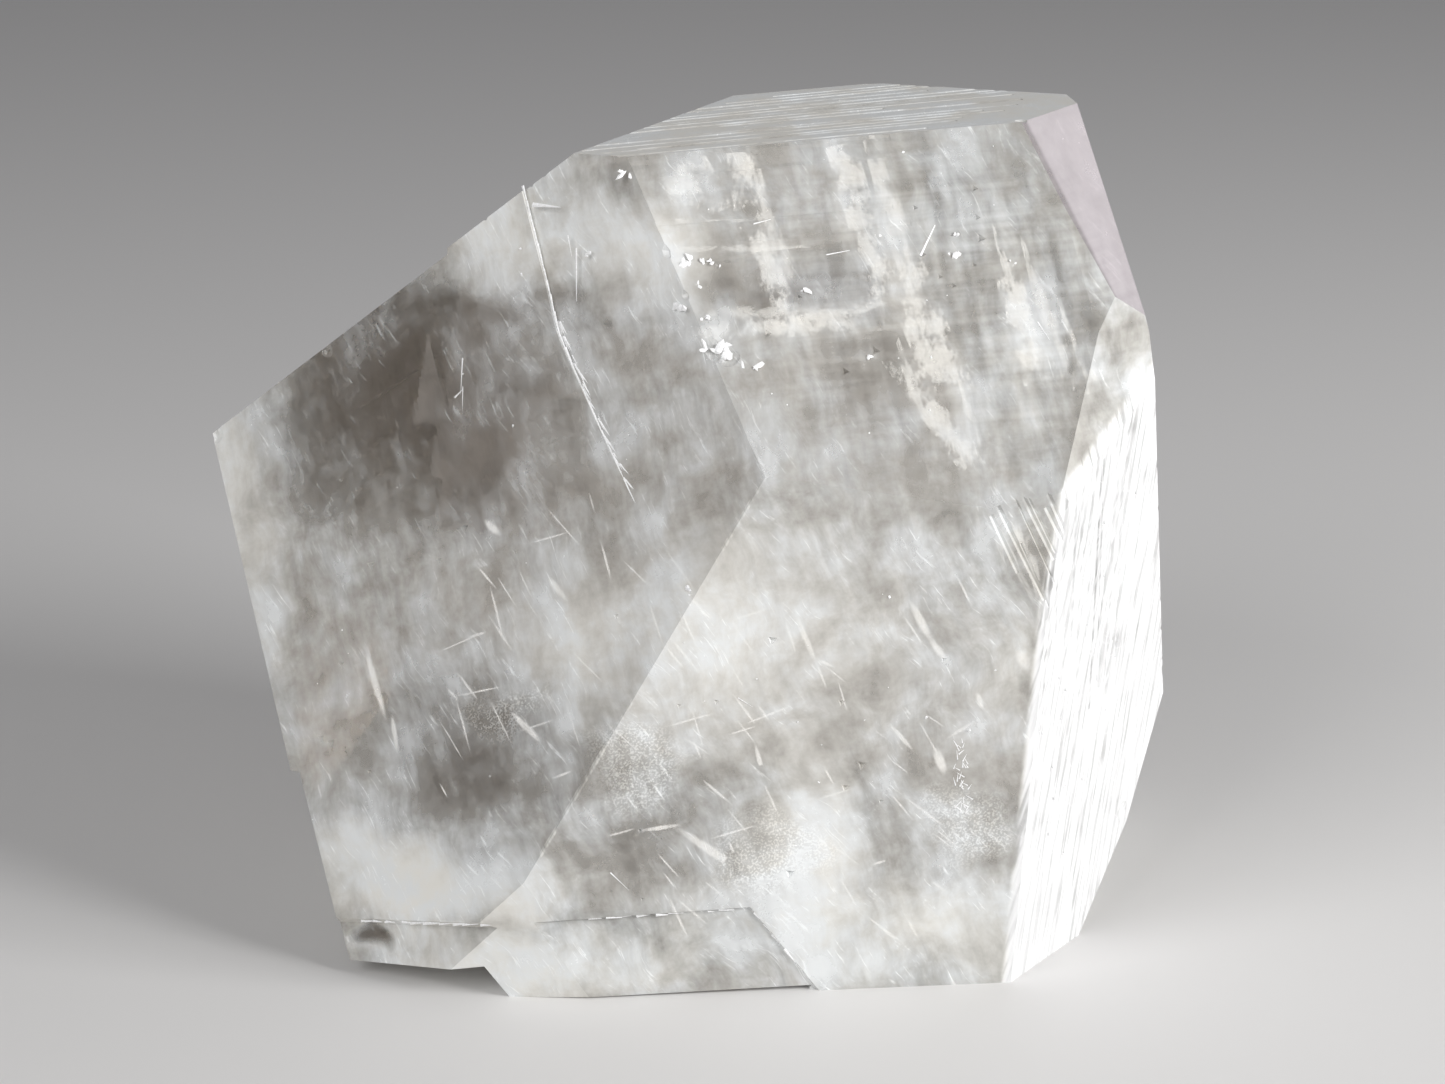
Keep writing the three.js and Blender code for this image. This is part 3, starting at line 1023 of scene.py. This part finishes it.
def crumbs():
    scatter = random.Random(8)
    parts = []
    for i, (normal, at, size) in enumerate(CRUMBS):
        for j in range(CLUSTER):
            across = scatter.uniform(-0.5, 0.5) * size[0]
            off = Vector((across, 0, scatter.uniform(-0.5, 0.5) * size[1]))
            share = scatter.uniform(0.35, 0.75)
            piece = (size[0] * share, size[1] * share * scatter.uniform(0.7, 1.3))
            parts.append(crumb(onto(normal, Vector(at) + off), normal, piece, 10 * i + j))
    for i in range(DUST_COUNT):
        normal, across, rise = DUST_PATCHES[i % len(DUST_PATCHES)]
        at = spot_on(normal, scatter.uniform(*across), scatter.uniform(*rise))
        size = scatter.uniform(0.05, 0.16) * scatter.uniform(0.7, 1.3)
        if on_crystal(at):
            parts.append(crumb(at, normal, (size, size * scatter.uniform(0.6, 1.6)), 1000 + i))
    return parts


whole_piece(crumbs(), "crumbs_and_dust", crushed_finish())

# %% [markdown]
# Scratches, etched worm tracks and the broken lips of the layers at the foot are fine too, and
# pale. They could be cut into the faces, but they are hardly deeper than a hair, so splinters are
# laid on the faces instead.

# %% Scratches
# Face, place on the surface, length, width and turn.
SCRATCHES = [
    (FRONT_LEFT, (-14.9, -12.8, 39.6), 2.4, 0.1, -86),
    (FRONT_LEFT, (-14.8, -13.2, 38.1), 1.8, 0.08, -84),
    (FRONT_LEFT, (-15.1, -13, 38.5), 0.8, 0.14, 48),
    (FRONT_HIGH, (15.2, -13.1, 48.7), 2.4, 0.16, 58),
    (FRONT_LEFT, (-7.2, -14.6, 46.8), 3.4, 0.12, -82),
    (FRONT_LEFT, (-7.8, -14.2, 48.6), 1.4, 0.1, -70),
    (FRONT_LEFT, (-9.2, -12.5, 50.8), 2.1, 0.35, 2),
    (FRONT_HIGH, (4.6, -14.6, 50.3), 1.2, 0.1, 12),
    (FRONT_HIGH, (9.5, -15.2, 48.6), 1.6, 0.08, 8),
    (FRONT_HIGH, (22.5, -14.8, 43), 1.4, 0.08, -64),
    (FRONT_LOW, (-4.6, -23.4, 8.6), 1.8, 0.08, -48),
    (FRONT_LOW, (3.5, -23, 21), 1.2, 0.06, -35),
]
# Broken lips of the layers that have split off above the base: face, both ends, and splinters.
LIPS = [
    (FRONT_LEFT, (-13.4, -30), (-3.4, -28.3), 15),
    (FRONT_LOW, (-11, -20.8), (-0.3, -20.5), 9),
    (FRONT_LOW, (0, -20.6), (3.9, -26), 12),
]
TRACKS_AT = Vector((17.5, -21.65, 15.2))
TRACK_COUNT = 34
TRACK_LEAN = -0.12


def scratches():
    parts = []
    for i, (normal, at, length, width, turn) in enumerate(SCRATCHES):
        parts.append(splinter(onto(normal, at, 0.02), normal, length, width, turn, 200 + i))
    scatter = random.Random(2)
    for normal, start, end, count in LIPS:
        way = Vector(end) - Vector(start)
        for i in range(count):
            place = Vector(start) + way * (i + scatter.random()) / count
            turn = math.degrees(math.atan2(way.y, way.x)) + scatter.uniform(-6, 6)
            at = spot_on(normal, *place, scatter.uniform(-0.12, 0))
            length, width = scatter.uniform(0.4, 1.3), scatter.uniform(0.08, 0.22)
            parts.append(splinter(at, normal, length, width, turn, 400 + i))
    for i in range(TRACK_COUNT):
        rise = scatter.uniform(-2.6, 2.6)
        aside = TRACK_LEAN * rise + scatter.uniform(-0.5, 0.5)
        at = onto(FRONT_LOW, TRACKS_AT + Vector((aside, 0, rise)), 0.01)
        turn = scatter.uniform(40, 150)
        parts.append(splinter(at, FRONT_LOW, scatter.uniform(0.25, 0.7), 0.09, turn, 300 + i))
    return parts


whole_piece(scratches(), "scratches", crushed_finish())


# %% [markdown]
# ## The studio
# A pale card lies under the crystal. A strong soft light from the right whitens the right side,
# and a larger, weaker one from the left front keeps the shadows open. Small lamps would be
# quicker, but their glints on flat faces are hard.

# %% Floor and light
FLOOR_SIZE = 6
FLOOR_COLOUR = (0.7, 0.69, 0.68, 1)
LIT_PLACE = Vector((0, 0, 28)) * MM
WORLD_COLOUR = (0.5, 0.5, 0.52, 1)
WORLD_STRENGTH = 0.36


def floor():
    bpy.ops.mesh.primitive_plane_add(size=FLOOR_SIZE)
    plane = bpy.context.object
    plane.name = "floor"
    f = Finish("floor_card")
    card = f.principled(Base_Color=FLOOR_COLOUR, Roughness=0.6)
    plane.data.materials.append(f.finish(card))


def soft_light(name, at, size, watts):
    place = Vector(at) * MM
    bpy.ops.object.light_add(type="AREA", location=place)
    light = bpy.context.object
    light.name = name
    light.rotation_euler = (LIT_PLACE - place).to_track_quat("-Z", "Y").to_euler()
    light.data.size = size * MM
    light.data.energy = watts


def pale_world():
    world = bpy.data.worlds.new("studio")
    bpy.context.scene.world = world
    world.use_nodes = True
    background = world.node_tree.nodes["Background"]
    background.inputs["Color"].default_value = WORLD_COLOUR
    background.inputs["Strength"].default_value = WORLD_STRENGTH


deselect()
floor()
soft_light("right_softbox", (340, -170, 190), 200, 1.75)
soft_light("left_softbox", (-260, -340, 300), 320, 1.2)
pale_world()
bpy.context.scene.view_settings.view_transform = "Standard"
